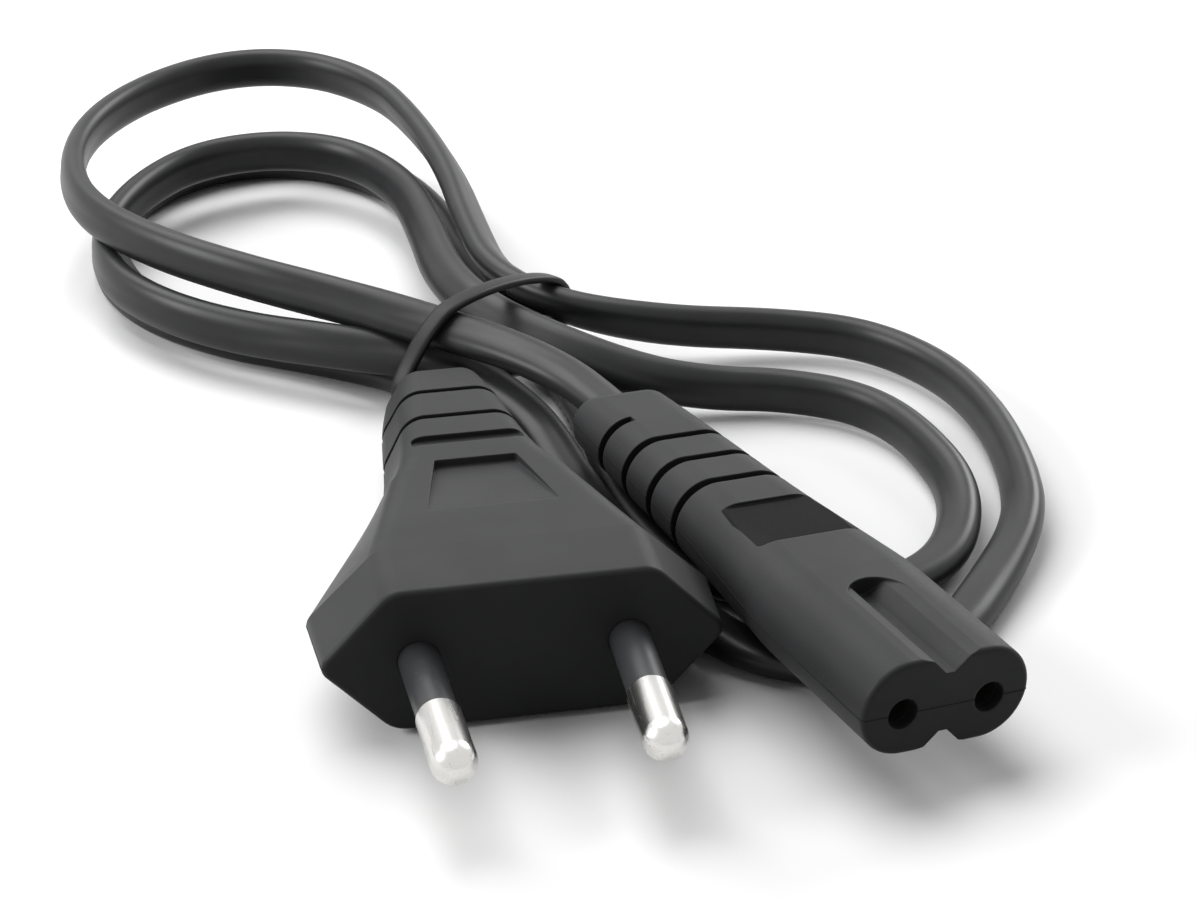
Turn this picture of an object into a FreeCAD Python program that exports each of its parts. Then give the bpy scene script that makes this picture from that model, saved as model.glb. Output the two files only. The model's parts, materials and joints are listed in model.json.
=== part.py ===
import FreeCAD, Part
import math
import os
import Sketcher
from FreeCAD import Placement, Rotation, Vector

# Mains lead with a flat two-pin plug, a figure-eight connector and a tied hank of flat cord.
# Row frame in millimetres: the connector lies along Y with its nose to -Y, up is +Z,
# the origin is the middle of the connector and the floor is at z = -floor_drop.

doc = FreeCAD.newDocument("figure_eight_power_connector")
sheet = doc.addObject("Spreadsheet::Sheet", "Sizes")

SIZES = [
    ("floor_drop", 8.1, "middle of the connector nose above the floor"),
    ("con_length", 61.3, "connector, nose face to cord exit"),
    ("con_pitch", 8.6, "spacing of the two contacts"),
    ("con_hole_drop", 0.4, "contacts below the middle of the nose"),
    ("con_roll", 5.2, "connector rolled about its axis, right side down, degrees"),
    ("con_nose_w", 16.6, "connector width at the nose"),
    ("con_nose_h", 8.9, "connector height at the nose"),
    ("con_nose_len", 16.9, "straight length of the nose"),
    ("waist_len", 14.3, "length of the waist grooves"),
    ("waist_mouth_w", 5.8, "width of a waist groove at its mouth"),
    ("waist_floor_w", 0.8, "width of a waist groove at its floor"),
    ("waist_floor_h", 2.8, "height of a waist groove's floor above the middle"),
    ("con_tail_w", 10.5, "connector width at the cord exit"),
    ("con_tail_h", 5.7, "connector height at the cord exit"),
    ("con_tail_drop", 0.9, "cord exit below the middle of the nose"),
    ("con_skin", 1.2, "moulding in front of the contact carrier"),
    ("con_entry_r", 1.45, "radius of a contact entry hole"),
    ("con_entry_len", 3.0, "depth of a contact entry hole"),
    ("carrier_lobe_r", 2.5, "radius of a carrier lobe"),
    ("carrier_waist_h", 1.4, "half height of the carrier waist"),
    ("carrier_len", 17.8, "length of the contact carrier"),
    ("contact_out_r", 1.65, "outer radius of a contact tube"),
    ("contact_in_r", 1.23, "inner radius of a contact tube"),
    ("contact_len", 13.0, "length of the contact tube"),
    ("crimp_len", 6.0, "length of the crimp barrel"),
    ("crimp_r", 1.3, "radius of the crimp barrel"),
    ("crimp_web", 1.0, "solid web in front of the bare copper"),
    ("contact_floor", 0.5, "depth of the contact tube's rear wall"),
    ("con_recess_w", 10.6, "width of the bare recess on the connector"),
    ("con_recess_len", 8.2, "length of the bare recess on the connector"),
    ("con_recess_floor_h", 3.5, "height of the recess floor above the middle"),
    ("con_recess_y", 23.4, "front edge of the connector recess behind the nose face"),
    ("con_groove_w", 1.1, "width of a strain relief groove on the connector"),
    ("con_groove_y", 37.4, "first strain relief groove behind the nose face"),
    ("con_groove_step", 5.4, "spacing of the connector grooves"),
    ("groove_depth", 0.8, "depth of every strain relief groove"),
    ("con_dome_r", 2.1, "rounding where the cord leaves the connector"),
    ("edge_r", 0.5, "rounding of the moulded face edges"),
    ("plug_w", 36.5, "plug face width"),
    ("plug_back_w", 37.6, "plug width behind its straight part"),
    ("plug_h", 13.7, "plug face height"),
    ("plug_flat_w", 23.4, "width of the flat top at the plug face"),
    ("plug_len", 51.6, "plug, face to cord exit"),
    ("plug_front_len", 8.3, "straight part behind the plug face"),
    ("plug_tail_w", 11.8, "plug width at the cord exit"),
    ("plug_tail_flat_w", 6.6, "width of the flat top at the cord exit"),
    ("plug_tail_h", 8.7, "plug height at the cord exit"),
    ("plug_skin", 2.0, "moulding in front of the pin bridge"),
    ("bridge_w", 25.0, "pin bridge width"),
    ("bridge_h", 6.4, "pin bridge height"),
    ("bridge_len", 9.0, "pin bridge length"),
    ("pin_pitch", 18.6, "pin spacing at the plug face"),
    ("pin_tip_pitch", 17.5, "pin spacing at the tips"),
    ("pin_len", 19.0, "pin length beyond the face"),
    ("pin_r", 2.0, "radius of the bare pin tip"),
    ("pin_core_r", 1.5, "radius of the pin inside its sleeve"),
    ("pin_back", 14.0, "pin length behind the face"),
    ("sleeve_r", 1.84, "outer radius of a pin sleeve"),
    ("sleeve_len", 10.0, "sleeve length beyond the face"),
    ("trap_front_w", 12.2, "front width of the bare recess on the plug"),
    ("trap_rear_w", 7.8, "rear width of the bare recess on the plug"),
    ("trap_front_y", 15.6, "recess front edge behind the plug face"),
    ("trap_rear_y", 26.7, "recess rear edge behind the plug face"),
    ("trap_floor_h", 8.1, "height of the sloping recess floor over the plug axis at the face"),
    ("trap_slope", 5.9, "degrees that the recess floor falls towards the cord"),
    ("band_y", 30.6, "front edge of the shallow band behind the plug face"),
    ("band_w", 10.8, "width of the shallow band on the plug"),
    ("band_len", 2.2, "length of the shallow band on the plug"),
    ("band_floor_h", 5.2, "height of the shallow band floor above the plug axis"),
    ("plug_groove_w", 1.0, "width of a strain relief groove on the plug"),
    ("plug_groove_y", 38.2, "first strain relief groove behind the plug face"),
    ("plug_groove_step", 7.0, "spacing of the plug grooves"),
    ("cord_exit_run", 4.0, "straight cord behind each moulding"),
    ("strand_r", 0.45, "radius of a bare copper strand end"),
    ("core_r", 0.95, "radius of an insulated core"),
    ("strand_in_len", 3.0, "bare copper inside the end of its core"),
    ("pin_strand_len", 3.0, "bare copper inside a pin"),
    ("core_start_run", 6.0, "straight core behind a crimp"),
    ("core_gap", 1.0, "half spacing of the two cores in the cord"),
    ("cord_d", 3.2, "round cord, about as thick as the flat one"),
    ("tie_t", 0.8, "thickness of the tie band"),
    ("tie_w", 1.8, "width of the tie band"),
    ("plug_x", -27.4, "plug face centre, X"),
    ("plug_y", 24.8, "plug face centre, Y from the connector nose"),
    ("plug_z", 7.28, "plug face centre above the floor"),
    ("plug_yaw", -15.7, "plug turned about the vertical, degrees"),
    ("plug_pitch", 2.5, "plug pins raised, degrees"),
]
size = {}
for row, (alias, value, note) in enumerate(SIZES, start=1):
    sheet.set("A%d" % row, note)
    sheet.set("B%d" % row, str(value))
    sheet.setAlias("B%d" % row, alias)
    size[alias] = value
doc.recompute()

NOSE_Y = -size["con_length"] / 2.0
CONNECTOR_POSE = Placement(Vector(0, NOSE_Y, 0), Rotation(Vector(0, 1, 0), size["con_roll"]))
PLUG_POSE = Placement(
    Vector(size["plug_x"], size["plug_y"] + NOSE_Y, size["plug_z"] - size["floor_drop"]),
    Rotation(Vector(0, 0, 1), size["plug_yaw"]) * Rotation(Vector(1, 0, 0), -size["plug_pitch"]),
)


def from_nose(x, y, height):
    """Row position of a point given from the connector nose and the floor."""
    return Vector(x, y + NOSE_Y, height - size["floor_drop"])


def origin_plane(body, role):
    for item in body.Origin.OriginFeatures:
        if item.Role == role:
            return item
    raise RuntimeError("no plane " + role)


def new_body(name, pose):
    body = doc.addObject("PartDesign::Body", name)
    body.Label = name
    body.Placement = pose
    return body


def sketch_on(body, name, role, offset=0.0, slope=0.0):
    """Sketch on an origin plane of the body, moved along the plane's normal."""
    sketch = body.newObject("Sketcher::SketchObject", name)
    sketch.AttachmentSupport = [(origin_plane(body, role), "")]
    sketch.MapMode = "FlatFace"
    sketch.AttachmentOffset = Placement(Vector(0, 0, offset), Rotation(Vector(1, 0, 0), -slope))
    return sketch


def across(body, name, y):
    """Sketch across the body at y, with X to the right and Z up."""
    return sketch_on(body, name, "XZ_Plane", -y)


def rounded(points, radii):
    """Lines and tangent arcs of a closed outline through rounded corners."""
    edges = []
    count = len(points)
    corners = []
    for i in range(count):
        before, here, after = points[i - 1], points[i], points[(i + 1) % count]
        if radii[i] <= 0:
            corners.append((here, here, None))
            continue
        u = (before - here).normalize()
        v = (after - here).normalize()
        half = u.getAngle(v) / 2.0
        run = radii[i] / math.tan(half)
        middle = here + (u + v).normalize() * (radii[i] / math.sin(half))
        knee = middle + (here - middle).normalize() * radii[i]
        corners.append((here + u * run, here + v * run, knee))
    for i in range(count):
        start, end, knee = corners[i]
        if knee is not None:
            edges.append(Part.Arc(start, knee, end))
        following = corners[(i + 1) % count][0]
        if (following - end).Length > 1e-6:
            edges.append(Part.LineSegment(end, following))
    return edges


def polygon(points):
    return rounded(points, [0.0] * len(points))


def hexagon(half_w, half_flat, half_h, side_r, flat_r):
    points = [
        Vector(half_w, 0, 0), Vector(half_flat, half_h, 0), Vector(-half_flat, half_h, 0),
        Vector(-half_w, 0, 0), Vector(-half_flat, -half_h, 0), Vector(half_flat, -half_h, 0),
    ]
    return rounded(points, [side_r, flat_r, flat_r, side_r, flat_r, flat_r])


def stadium(half_w, half_h, drop=0.0):
    """Flat oval: two half circles joined by two lines, with its middle dropped."""
    c = half_w - half_h
    top, middle, bottom = half_h - drop, -drop, -half_h - drop
    return [
        Part.LineSegment(Vector(c, top, 0), Vector(-c, top, 0)),
        Part.Arc(Vector(-c, top, 0), Vector(-half_w, middle, 0), Vector(-c, bottom, 0)),
        Part.LineSegment(Vector(-c, bottom, 0), Vector(c, bottom, 0)),
        Part.Arc(Vector(c, bottom, 0), Vector(half_w, middle, 0), Vector(c, top, 0)),
    ]


def figure_eight(centre, radius, waist, drop):
    """Two discs joined by a flat waist, with its middle dropped."""
    x = centre - math.sqrt(radius ** 2 - waist ** 2)
    top, middle, bottom = waist - drop, -drop, -waist - drop
    return [
        Part.LineSegment(Vector(x, top, 0), Vector(-x, top, 0)),
        Part.Arc(Vector(-x, top, 0), Vector(-centre - radius, middle, 0), Vector(-x, bottom, 0)),
        Part.LineSegment(Vector(-x, bottom, 0), Vector(x, bottom, 0)),
        Part.Arc(Vector(x, bottom, 0), Vector(centre + radius, middle, 0), Vector(x, top, 0)),
    ]


def fill(sketch, edges):
    for edge in edges:
        sketch.addGeometry(edge, False)
    return sketch


def pad(body, name, sketch, alias, reverse=True):
    feature = body.newObject("PartDesign::Pad", name)
    feature.Profile = sketch
    feature.Reversed = reverse
    feature.setExpression("Length", "Sizes." + alias)
    return feature


def pocket(body, name, sketch, alias, reverse):
    feature = body.newObject("PartDesign::Pocket", name)
    feature.Profile = sketch
    feature.Reversed = reverse
    feature.setExpression("Length", "Sizes." + alias)
    return feature


def loft(body, name, sketches, ruled):
    feature = body.newObject("PartDesign::AdditiveLoft", name)
    feature.Profile = sketches[0]
    feature.Sections = sketches[1:]
    feature.Ruled = ruled
    return feature


def ring_groove(body, name, y, edges, alias, left_only=False):
    """Groove round the moulding: everything outside the given outline, one groove wide."""
    sketch = across(body, name + "_outline", y)
    far, high = size["plug_w"], size["plug_h"]
    if left_only:
        bottom, top = edges[2].StartPoint, edges[0].EndPoint
        frame = polygon([Vector(-far, -high, 0), Vector(bottom.x, -high, 0), bottom, top, Vector(top.x, high, 0),
                         Vector(-far, high, 0)])
        frame[2] = edges[1]
    else:
        frame = polygon([Vector(-far, -high, 0), Vector(far, -high, 0), Vector(far, high, 0), Vector(-far, high, 0)])
        frame += edges
    fill(sketch, frame)
    return pocket(body, name, sketch, alias, True)


def revolved(body, name, points_and_arcs):
    sketch = sketch_on(body, name + "_profile", "XY_Plane")
    fill(sketch, points_and_arcs)
    feature = body.newObject("PartDesign::Revolution", name)
    feature.Profile = sketch
    feature.ReferenceAxis = (sketch, ["V_Axis"])
    feature.Angle = 360.0
    return feature


def combine(kind, name, first, others):
    """Part boolean: a cut, or a fusion when there are several tools."""
    feature = doc.addObject(kind, name)
    if kind == "Part::Cut":
        feature.Base = first
        feature.Tool = others
    else:
        feature.Shapes = [first] + list(others)
    feature.Label = name
    return feature


def solid_object(name, shape):
    feature = doc.addObject("Part::Feature", name)
    feature.Label = name
    feature.Shape = shape
    return feature


def route_wire(points):
    """Straight runs joined by tangent arcs; returns the wire and the arc radii."""
    edges = []
    radii = []
    start = points[0]
    for i in range(1, len(points) - 1):
        before = points[i] - points[i - 1]
        after = points[i + 1] - points[i]
        turn = before.getAngle(after)
        run = 0.45 * min(before.Length, after.Length)
        radius = run / math.tan(turn / 2.0)
        u = Vector(before).normalize()
        v = Vector(after).normalize()
        enter = points[i] - u * run
        leave = points[i] + v * run
        inward = (v - u).normalize()
        middle = points[i] + inward * (radius / math.cos(turn / 2.0))
        knee = middle - inward * radius
        edges.append(Part.LineSegment(start, enter).toShape())
        edges.append(Part.Arc(enter, knee, leave).toShape())
        radii.append(radius)
        start = leave
    edges.append(Part.LineSegment(start, points[-1]).toShape())
    return Part.Wire(edges), radii


def tube(points, radius):
    """Round solid swept along the route."""
    wire, radii = route_wire(points)
    heading = (points[1] - points[0]).normalize()
    ring = Part.Wire([Part.makeCircle(radius, points[0], heading)])
    solid = wire.makePipeShell([ring], True, False)
    expected = math.pi * radius ** 2 * wire.Length
    if solid.Volume < 0:
        solid.reverse()
    return solid, wire, radii, solid.Volume / expected


# Connector moulding

connector_blank = new_body("connector_blank", CONNECTOR_POSE)
half_nose_w, half_nose_h = size["con_nose_w"] / 2.0, size["con_nose_h"] / 2.0
nose_sketch = fill(across(connector_blank, "nose_outline", 0.0), stadium(half_nose_w, half_nose_h))
nose = pad(connector_blank, "nose", nose_sketch, "con_nose_len")


def between(a, b, share):
    return a + (b - a) * share


# Shares of the way from the nose to the cord exit: along, across and up
TAPER = [
    (0.0, 0.0, 0.0), (0.047, 0.05, 0.027), (0.137, 0.19, 0.078), (0.227, 0.33, 0.13), (0.329, 0.49, 0.19),
    (0.43, 0.61, 0.26), (0.565, 0.7, 0.4), (0.7, 0.77, 0.565), (0.836, 0.86, 0.74), (1.0, 1.0, 1.0),
]
CONNECTOR_SECTIONS = [
    (between(size["con_nose_len"], size["con_length"], along), between(half_nose_w, size["con_tail_w"] / 2.0, over),
     between(half_nose_h, size["con_tail_h"] / 2.0, up), size["con_tail_drop"] * along) for along, over, up in TAPER
]


def section_at(sections, y):
    """Half sizes of the moulding at y, straight between its sections."""
    for low, high in zip(sections, sections[1:]):
        if low[0] <= y <= high[0]:
            f = (y - low[0]) / (high[0] - low[0])
            return [a + (b - a) * f for a, b in zip(low[1:], high[1:])]
    return list(sections[-1][1:])


rear_sketches = [
    fill(across(connector_blank, "rear_outline_%d" % i, y), stadium(w, h, drop))
    for i, (y, w, h, drop) in enumerate(CONNECTOR_SECTIONS)
]
rear = loft(connector_blank, "rear", rear_sketches, False)
doc.recompute()

RINGS = 4
for number in range(RINGS):
    y = size["con_groove_y"] + number * size["con_groove_step"]
    w, h, drop = section_at(CONNECTOR_SECTIONS, y + size["con_groove_w"] / 2.0)
    inner = stadium(w - size["groove_depth"], h - size["groove_depth"], drop)
    ring_groove(connector_blank, "ring_%d" % number, y, inner, "con_groove_w", left_only=number == RINGS - 1)

recess_sketch = sketch_on(connector_blank, "recess_outline", "XY_Plane", size["con_recess_floor_h"])
half_recess = size["con_recess_w"] / 2.0
recess_front = size["con_recess_y"]
recess_rear = recess_front + size["con_recess_len"]
fill(recess_sketch, rounded([
    Vector(-half_recess, recess_front, 0), Vector(half_recess, recess_front, 0),
    Vector(half_recess, recess_rear, 0), Vector(-half_recess, recess_rear, 0),
], [0.5] * 4))
recess = pocket(connector_blank, "recess", recess_sketch, "con_skin", True)
doc.recompute()


def edges_at(feature, test):
    return ["Edge%d" % (i + 1) for i, edge in enumerate(feature.Shape.Edges) if test(edge)]


def lies_at_y(edge, y):
    return all(abs(v.Point.y - y) < 1e-4 for v in edge.Vertexes) and abs(edge.CenterOfMass.y - y) < 1e-4


def rounding(body, name, base, y, alias):
    feature = body.newObject("PartDesign::Fillet", name)
    feature.Base = (base, edges_at(base, lambda e: lies_at_y(e, y)))
    feature.setExpression("Radius", "Sizes." + alias)
    doc.recompute()
    return feature


rear_round = rounding(connector_blank, "cord_shoulder", recess, size["con_length"], "con_dome_r")
nose_round = rounding(connector_blank, "nose_edge", rear_round, 0.0, "edge_r")

# Waist groove on the top and bottom of the nose, with a round rear end


def waist_tool(sign, name):
    """Open V with rounded lips, from in front of the face to its round rear end."""
    mouth, foot = size["waist_mouth_w"] / 2.0, size["waist_floor_w"] / 2.0
    floor, lip = size["waist_floor_h"], half_nose_h
    shoulder_x, shoulder_z = between(foot, mouth, 0.55), between(floor, lip, 0.8)
    ahead, over = 1.0, lip + 1.5
    points = [Vector(x, -ahead, sign * z) for x, z in (
        (-mouth, over), (-mouth, lip), (-shoulder_x, shoulder_z), (-foot, floor), (foot, floor),
        (shoulder_x, shoulder_z), (mouth, lip), (mouth, over))]
    outline = Part.Wire(Part.makePolygon(points + points[:1]).Edges)
    run = Part.Face(outline).extrude(Vector(0, size["con_nose_len"] + ahead, 0))
    straight = size["waist_len"] - mouth
    slot = Part.makeBox(2 * mouth, straight + ahead, 2 * over, Vector(-mouth, -ahead, -over))
    end = Part.makeCylinder(mouth, 2 * over, Vector(0, straight, -over))
    tool = run.common(slot.fuse(end).removeSplitter())
    feature = solid_object(name, tool)
    feature.Placement = CONNECTOR_POSE
    return feature


waist_top = waist_tool(1, "waist_groove_top")
waist_bottom = waist_tool(-1, "waist_groove_bottom")

# Contacts, carrier, cores and copper ends of the connector

half_pitch, hole_z = size["con_pitch"] / 2.0, -size["con_hole_drop"]
entry_end = size["con_entry_len"]
contact_end = entry_end + size["contact_len"]
crimp_end = contact_end + size["crimp_len"]
web_end = contact_end + size["crimp_web"]
bore_end = contact_end - size["contact_floor"]
SIDES = (("left", -1), ("right", 1))
contacts, entries = [], []


def line(a, b):
    return Part.LineSegment(Vector(a[0], a[1], 0), Vector(b[0], b[1], 0))


def chain(points):
    return [line(a, b) for a, b in zip(points, points[1:] + points[:1])]


for side, sign in SIDES:
    here = CONNECTOR_POSE * Placement(Vector(sign * half_pitch, 0, hole_z), Rotation())
    entry = doc.addObject("Part::Cylinder", "entry_hole_" + side)
    entry.setExpression("Radius", "Sizes.con_entry_r")
    entry.setExpression("Height", "Sizes.con_entry_len + 1")
    entry.Placement = here * Placement(Vector(0, -1, 0), Rotation(Vector(1, 0, 0), -90))
    entries.append(entry)
    contact = new_body("contact_" + side, here)
    out_r, in_r, crimp_r, wire_r = size["contact_out_r"], size["contact_in_r"], size["crimp_r"], size["strand_r"]
    revolved(contact, "contact_turning_" + side, chain([
        (in_r, entry_end), (out_r, entry_end), (out_r, contact_end), (crimp_r, contact_end), (crimp_r, crimp_end),
        (wire_r, crimp_end), (wire_r, web_end), (0.0, web_end), (0.0, bore_end), (in_r, bore_end),
    ]))
    contacts.append(contact)

pin_slope = math.atan((size["pin_pitch"] - size["pin_tip_pitch"]) / 2.0 / size["pin_len"])
slant = math.degrees(pin_slope)


def pin_axis(y):
    """Point of the right pin's axis at a distance behind the face, in the plug's frame."""
    return (size["pin_pitch"] / 2.0 + y * math.sin(pin_slope), y * math.cos(pin_slope), 0)


core_gap = size["core_gap"]
exit_z = -size["con_tail_drop"]
con_fan_start = crimp_end + size["core_start_run"]
CON_CORE_ROUTE = [
    (half_pitch, crimp_end, hole_z), (half_pitch, con_fan_start, hole_z),
    (between(half_pitch, core_gap, 0.5), between(con_fan_start, size["con_length"], 0.24), between(hole_z, exit_z, 0.5)),
    (core_gap, between(con_fan_start, size["con_length"], 0.54), exit_z), (core_gap, size["con_length"], exit_z),
]
plug_fan_start = size["pin_back"] + size["core_start_run"]
PLUG_CORE_ROUTE = [
    pin_axis(size["pin_back"]), pin_axis(plug_fan_start),
    (between(size["pin_pitch"] / 2.0, core_gap, 0.5), between(plug_fan_start, size["plug_len"], 0.32), 0),
    (core_gap, between(plug_fan_start, size["plug_len"], 0.65), 0), (core_gap, size["plug_len"], 0),
]


def core_pair(label, route, bare_len, pose):
    """Insulated cores with their bare copper ends, one of each side."""
    strands, cores = [], []
    for side, sign in SIDES:
        points = [Vector(sign * x, y, z) for x, y, z in route]
        core_shape = tube(points, size["core_r"])[0]
        begin = points[0]
        along = (points[1] - points[0]).normalize()
        front_end = begin - along * bare_len
        strand = Part.makeCylinder(size["strand_r"], bare_len + size["strand_in_len"], front_end, along)
        strand_object = solid_object(label + "_strand_" + side, strand)
        core_object = solid_object(label + "_core_" + side, core_shape.cut(strand))
        strand_object.Placement = pose
        core_object.Placement = pose
        strands.append(strand_object)
        cores.append(core_object)
    return strands, cores


con_strands, con_cores = core_pair("connector", CON_CORE_ROUTE, size["crimp_len"] - size["crimp_web"], CONNECTOR_POSE)

carrier_blank = new_body("carrier_blank", CONNECTOR_POSE)
carrier_sketch = fill(across(carrier_blank, "carrier_outline", size["con_skin"]),
                      figure_eight(half_pitch, size["carrier_lobe_r"], size["carrier_waist_h"],
                                   size["con_hole_drop"]))
pad(carrier_blank, "carrier_pad", carrier_sketch, "carrier_len")
doc.recompute()

carrier_tools = combine("Part::MultiFuse", "carrier_tools", contacts[0], contacts[1:] + entries)
bore_plugs = []
for side, sign in SIDES:
    fill_up = doc.addObject("Part::Cylinder", "bore_space_" + side)
    fill_up.setExpression("Radius", "Sizes.contact_in_r")
    fill_up.Height = bore_end
    at_hole = Placement(Vector(sign * half_pitch, 0, hole_z), Rotation(Vector(1, 0, 0), -90))
    fill_up.Placement = CONNECTOR_POSE * at_hole
    bore_plugs.append(fill_up)
carrier_tools.Shapes = contacts + entries + bore_plugs + con_strands
connector_insert = combine("Part::Cut", "connector_insert", carrier_blank, carrier_tools)
connector_cavity = combine("Part::MultiFuse", "connector_cavity", carrier_blank,
                           contacts + entries + bore_plugs + con_strands + con_cores + [waist_top, waist_bottom])
connector_body = combine("Part::Cut", "connector_body", connector_blank, connector_cavity)
doc.recompute()

# Plug moulding

plug_blank = new_body("plug_blank", PLUG_POSE)
half_w, half_flat, half_h = size["plug_w"] / 2.0, size["plug_flat_w"] / 2.0, size["plug_h"] / 2.0
tail_w, tail_flat, tail_h = size["plug_tail_w"] / 2.0, size["plug_tail_flat_w"] / 2.0, size["plug_tail_h"] / 2.0
# Shares of the way from the face to the cord exit: along, across, across the flat and up, then two corner radii
PLUG_TAPER = [
    (0.0, 0.0, 0.0, 0.0, 1.4, 3.0), (0.381, 0.603, 0.46, 0.26, 1.6, 2.6), (0.524, 0.787, 0.68, 0.38, 2.0, 2.6),
    (0.686, 0.855, 0.8, 0.54, 2.6, 2.8), (0.871, 0.915, 0.9, 0.78, 2.8, 2.8), (1.0, 1.0, 1.0, 1.0, 2.4, 2.4),
]
half_back_w = size["plug_back_w"] / 2.0
PLUG_SECTIONS = [(0.0, half_w, half_flat, half_h, 1.4, 3.0)] + [
    (between(size["plug_front_len"], size["plug_len"], along), between(half_back_w, tail_w, over),
     between(half_flat, tail_flat, flat), between(half_h, tail_h, up), side_r, flat_r)
    for along, over, flat, up, side_r, flat_r in PLUG_TAPER
]


def plug_outline(name, section):
    y, w, flat, h, side_r, flat_r = section
    return fill(across(plug_blank, name, y), hexagon(w, flat, h, side_r, flat_r))


front = [plug_outline("front_outline_%d" % i, s) for i, s in enumerate(PLUG_SECTIONS[:3])]
plug_front = loft(plug_blank, "plug_front", front, True)
tail = [plug_outline("tail_outline_%d" % i, s) for i, s in enumerate(PLUG_SECTIONS[2:])]
plug_tail = loft(plug_blank, "plug_tail", tail, False)
doc.recompute()

for number in range(2):
    y = size["plug_groove_y"] + number * size["plug_groove_step"]
    w, flat, h, side_r, flat_r = section_at(PLUG_SECTIONS, y + size["plug_groove_w"] / 2.0)
    d = size["groove_depth"]
    ring_groove(plug_blank, "plug_ring_%d" % number, y, hexagon(w - d, flat - 0.6 * d, h - d, side_r, flat_r),
                "plug_groove_w")

trap_sketch = sketch_on(plug_blank, "trap_outline", "XY_Plane", size["trap_floor_h"], size["trap_slope"])
fill(trap_sketch, rounded([
    Vector(-size["trap_front_w"] / 2, size["trap_front_y"], 0), Vector(size["trap_front_w"] / 2, size["trap_front_y"], 0),
    Vector(size["trap_rear_w"] / 2, size["trap_rear_y"], 0), Vector(-size["trap_rear_w"] / 2, size["trap_rear_y"], 0),
], [0.3] * 4))
trap = pocket(plug_blank, "trap_recess", trap_sketch, "plug_skin", True)
band_sketch = sketch_on(plug_blank, "band_outline", "XY_Plane", size["band_floor_h"])
half_band = size["band_w"] / 2.0
band_front, band_rear = size["band_y"], size["band_y"] + size["band_len"]
fill(band_sketch, rounded([
    Vector(-half_band, band_front, 0), Vector(half_band, band_front, 0),
    Vector(half_band, band_rear, 0), Vector(-half_band, band_rear, 0),
], [0.6] * 4))
band = pocket(plug_blank, "band_recess", band_sketch, "plug_skin", True)
doc.recompute()
tail_round = rounding(plug_blank, "plug_shoulder", band, size["plug_len"], "edge_r")
face_round = rounding(plug_blank, "face_edge", tail_round, 0.0, "edge_r")

# Pins, sleeves, bridge, cores and copper ends of the plug

pins, sleeves = [], []
for side, sign in SIDES:
    here = PLUG_POSE * Placement(Vector(sign * size["pin_pitch"] / 2.0, 0, 0), Rotation(Vector(0, 0, 1), -sign * slant))
    pin = new_body("pin_blank_" + side, here)
    r, core, tip, back = size["pin_r"], size["pin_core_r"], -size["pin_len"], size["pin_back"]
    sleeve_y = -size["sleeve_len"]
    knee = Vector(r * math.sin(math.radians(45)), tip + r * (1 - math.cos(math.radians(45))), 0)
    revolved(pin, "pin_turning_" + side, [
        Part.Arc(Vector(0, tip, 0), knee, Vector(r, tip + r, 0)),
        line((r, tip + r), (r, sleeve_y)), line((r, sleeve_y), (core, sleeve_y)), line((core, sleeve_y), (core, back)),
        line((core, back), (0.0, back)), line((0.0, back), (0.0, tip)),
    ])
    pins.append(pin)
    sleeve = new_body("pin_sleeve_" + side, here)
    revolved(sleeve, "sleeve_turning_" + side, chain([
        (core, sleeve_y), (size["sleeve_r"], sleeve_y), (size["sleeve_r"], size["plug_skin"]), (core, size["plug_skin"]),
    ]))
    sleeves.append(sleeve)

plug_strands, plug_cores = core_pair("plug", PLUG_CORE_ROUTE, size["pin_strand_len"], PLUG_POSE)
bridge_blank = new_body("bridge_blank", PLUG_POSE)
half_bridge, half_thick = size["bridge_w"] / 2.0, size["bridge_h"] / 2.0
bridge_sketch = fill(across(bridge_blank, "bridge_outline", size["plug_skin"]), rounded([
    Vector(half_bridge, -half_thick, 0), Vector(half_bridge, half_thick, 0),
    Vector(-half_bridge, half_thick, 0), Vector(-half_bridge, -half_thick, 0),
], [1.0] * 4))
pad(bridge_blank, "bridge_pad", bridge_sketch, "bridge_len")
doc.recompute()

pin_tools = combine("Part::MultiFuse", "pin_tools", pins[0], pins[1:] + sleeves)
plug_bridge = combine("Part::Cut", "plug_bridge", bridge_blank, pin_tools)
plug_pins = []
for pin, (side, sign) in zip(pins, SIDES):
    plug_pins.append(combine("Part::Cut", "plug_pin_" + side, pin, plug_strands[0 if sign < 0 else 1]))
plug_cavity = combine("Part::MultiFuse", "plug_cavity", bridge_blank, pins + sleeves + plug_strands + plug_cores)
plug_body = combine("Part::Cut", "plug_body", plug_blank, plug_cavity)
doc.recompute()

# Cord: from the connector through the tie, three loops to the left, two to the right, to the plug

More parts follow.
